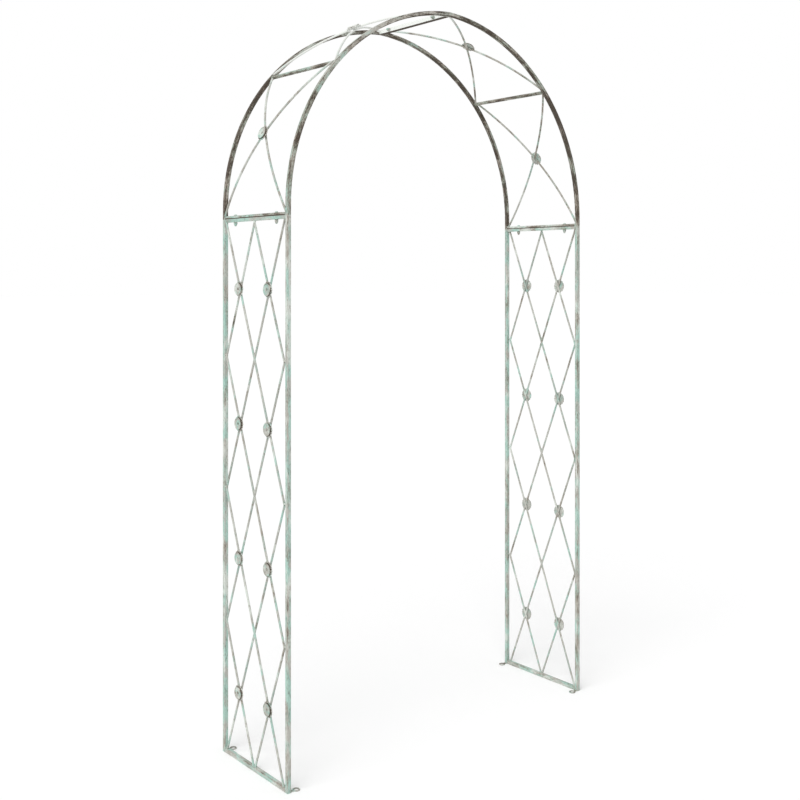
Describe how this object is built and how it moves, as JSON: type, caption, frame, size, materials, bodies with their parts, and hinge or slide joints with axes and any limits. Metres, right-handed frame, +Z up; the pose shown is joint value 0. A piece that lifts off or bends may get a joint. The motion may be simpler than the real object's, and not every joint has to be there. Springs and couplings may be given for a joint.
{
  "type": "garden arch",
  "caption": "Freestanding garden trellis arch: square-tube frame, crossed-rod lattice sides, rosettes on the crossings, a hoop top in bolted halves and ground-stake eyes.",
  "frame": {"origin": "Middle of the bounding box on the ground, midway between the side panels", "axes": "+Z up, +X across the walkway from the left panel to the right, +Y along the way a person walks through, front to back"},
  "size_m": [1.2414, 0.374, 2.3088],
  "materials": {
    "frame_tube": "distressed verdigris paint over rust brown",
    "joint_bar": "distressed verdigris paint, mostly worn to rust brown",
    "lattice_rod": "distressed verdigris paint over rust brown",
    "rosette": "distressed verdigris paint, brown in the recesses",
    "fastener": "weathered painted steel"
  },
  "bodies": {
    "root": {"left_front_upright": "frame_tube", "left_front_hoop": "frame_tube", "left_front_ground_eye": "frame_tube", "left_back_upright": "frame_tube", "left_back_hoop": "frame_tube", "left_back_ground_eye": "frame_tube", "right_front_upright": "frame_tube", "right_front_hoop": "frame_tube", "right_front_ground_eye": "frame_tube", "right_back_upright": "frame_tube", "right_back_hoop": "frame_tube", "right_back_ground_eye": "frame_tube", "left_bottom_rail": "frame_tube", "left_top_flange": "joint_bar", "left_spring_flange": "joint_bar", "left_mid_rail": "joint_bar", "left_crown_flange": "joint_bar", "left_lattice_welds": "lattice_rod", "left_rosette_petals": "rosette", "left_rosette_caps": "rosette", "right_bottom_rail": "frame_tube", "right_top_flange": "joint_bar", "right_spring_flange": "joint_bar", "right_mid_rail": "joint_bar", "right_crown_flange": "joint_bar", "right_lattice_welds": "lattice_rod", "right_rosette_petals": "rosette", "right_rosette_caps": "rosette", "left_inner_rod_1": "lattice_rod", "left_inner_rod_2": "lattice_rod", "left_inner_rod_3": "lattice_rod", "left_inner_rod_4": "lattice_rod", "left_inner_rod_5": "lattice_rod", "left_outer_rod_1": "lattice_rod", "left_outer_rod_2": "lattice_rod", "left_outer_rod_3": "lattice_rod", "left_outer_rod_4": "lattice_rod", "left_outer_rod_5": "lattice_rod", "right_inner_rod_1": "lattice_rod", "right_inner_rod_2": "lattice_rod", "right_inner_rod_3": "lattice_rod", "right_inner_rod_4": "lattice_rod", "right_inner_rod_5": "lattice_rod", "right_outer_rod_1": "lattice_rod", "right_outer_rod_2": "lattice_rod", "right_outer_rod_3": "lattice_rod", "right_outer_rod_4": "lattice_rod", "right_outer_rod_5": "lattice_rod", "left_lower_inner_brace": "lattice_rod", "left_lower_outer_brace": "lattice_rod", "left_upper_inner_brace": "lattice_rod", "left_upper_outer_brace": "lattice_rod", "right_lower_inner_brace": "lattice_rod", "right_lower_outer_brace": "lattice_rod", "right_upper_inner_brace": "lattice_rod", "right_upper_outer_brace": "lattice_rod", "arch_rosette_petals": "rosette", "arch_rosette_caps": "rosette", "joint_bolts": "fastener", "joint_nuts": "fastener"}
  },
  "joints": []
}
